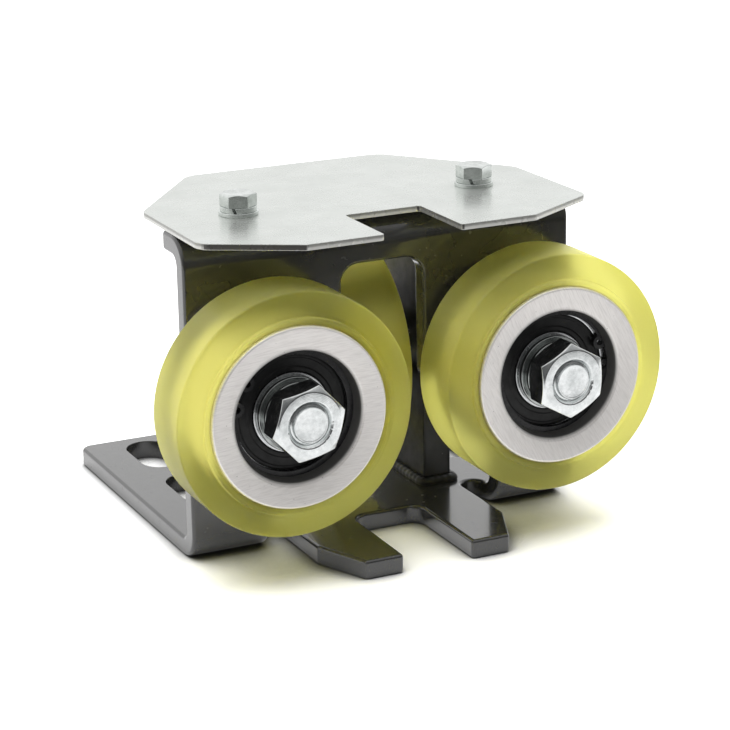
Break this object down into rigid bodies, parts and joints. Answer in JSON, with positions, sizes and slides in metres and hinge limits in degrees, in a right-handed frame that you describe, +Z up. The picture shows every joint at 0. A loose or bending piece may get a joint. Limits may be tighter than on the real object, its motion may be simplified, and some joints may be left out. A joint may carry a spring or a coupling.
{
  "type": "roller guide shoe",
  "caption": "Guide shoe for a lift car: a bent plate bracket with rollers that grip the sides and the nose of the guide rail, under a flat cover plate.",
  "frame": {"origin": "on the floor plane, where the middle plane of the guide rail crosses the front face of the upright wall", "axes": "+Z up along the guide rail, -Y towards the rail side (front), +X to the right seen from the front"},
  "size_m": [0.214, 0.193, 0.1444],
  "materials": {
    "grey_paint": "glossy dark grey paint",
    "cover_zinc": "pale galvanised sheet",
    "bright_zinc": "bright zinc plate",
    "polyurethane": "translucent yellow polyurethane",
    "turned_aluminium": "fine turned face",
    "bearing_steel": "ground steel",
    "black_seal": "satin black rubber",
    "black_steel": "black phosphated spring steel"
  },
  "bodies": {
    "frame_body": {"frame": "grey_paint", "rear_post": "grey_paint", "post_weld": "grey_paint", "cover_plate": "cover_zinc", "cover_screws": "bright_zinc", "cover_spring_washers": "bright_zinc", "cover_flat_washers": "bright_zinc", "left_inner_ring": "bearing_steel", "left_sleeve": "bright_zinc", "left_axle_bolt": "bright_zinc", "left_axle_washers": "bright_zinc", "left_spring_washer": "bright_zinc", "left_axle_nut": "bright_zinc", "right_inner_ring": "bearing_steel", "right_sleeve": "bright_zinc", "right_axle_bolt": "bright_zinc", "right_axle_washers": "bright_zinc", "right_spring_washer": "bright_zinc", "right_axle_nut": "bright_zinc", "rear_inner_ring": "bearing_steel", "rear_sleeve": "bright_zinc", "rear_axle_bolt": "bright_zinc", "rear_axle_washers": "bright_zinc", "rear_spring_washer": "bright_zinc", "rear_axle_nut": "bright_zinc"},
    "left_roller": {"left_tyre": "polyurethane", "left_hub": "turned_aluminium", "left_outer_ring": "bearing_steel", "left_seals": "black_seal", "left_circlip": "black_steel"},
    "left_ball_set": {"left_balls": "bearing_steel", "left_ball_cage": "bearing_steel"},
    "right_roller": {"right_tyre": "polyurethane", "right_hub": "turned_aluminium", "right_outer_ring": "bearing_steel", "right_seals": "black_seal", "right_circlip": "black_steel"},
    "right_ball_set": {"right_balls": "bearing_steel", "right_ball_cage": "bearing_steel"},
    "rear_roller": {"rear_tyre": "polyurethane", "rear_hub": "turned_aluminium", "rear_outer_ring": "bearing_steel", "rear_seals": "black_seal", "rear_circlip": "black_steel"},
    "rear_ball_set": {"rear_balls": "bearing_steel", "rear_ball_cage": "bearing_steel"}
  },
  "joints": [
    {"name": "left_roller_spin", "type": "hinge", "parent": "frame_body", "child": "left_roller", "pos_m": [-0.057, -0.0285, 0.07], "axis": [0, -1, 0], "continuous": true},
    {"name": "left_ball_set_spin", "type": "hinge", "parent": "frame_body", "child": "left_ball_set", "pos_m": [-0.057, -0.0285, 0.07], "axis": [0, -1, 0], "continuous": true},
    {"name": "right_roller_spin", "type": "hinge", "parent": "frame_body", "child": "right_roller", "pos_m": [0.057, -0.0285, 0.07], "axis": [0, -1, 0], "continuous": true},
    {"name": "right_ball_set_spin", "type": "hinge", "parent": "frame_body", "child": "right_ball_set", "pos_m": [0.057, -0.0285, 0.07], "axis": [0, -1, 0], "continuous": true},
    {"name": "rear_roller_spin", "type": "hinge", "parent": "frame_body", "child": "rear_roller", "pos_m": [0, 0.048, 0.065], "axis": [-1, 0, 0], "continuous": true},
    {"name": "rear_ball_set_spin", "type": "hinge", "parent": "frame_body", "child": "rear_ball_set", "pos_m": [0, 0.048, 0.065], "axis": [-1, 0, 0], "continuous": true}
  ],
  "couplings": [
    {"joint": "left_ball_set_spin", "follows": "left_roller_spin", "ratio": 0.6031},
    {"joint": "right_ball_set_spin", "follows": "right_roller_spin", "ratio": 0.6031},
    {"joint": "rear_ball_set_spin", "follows": "rear_roller_spin", "ratio": 0.6031}
  ]
}
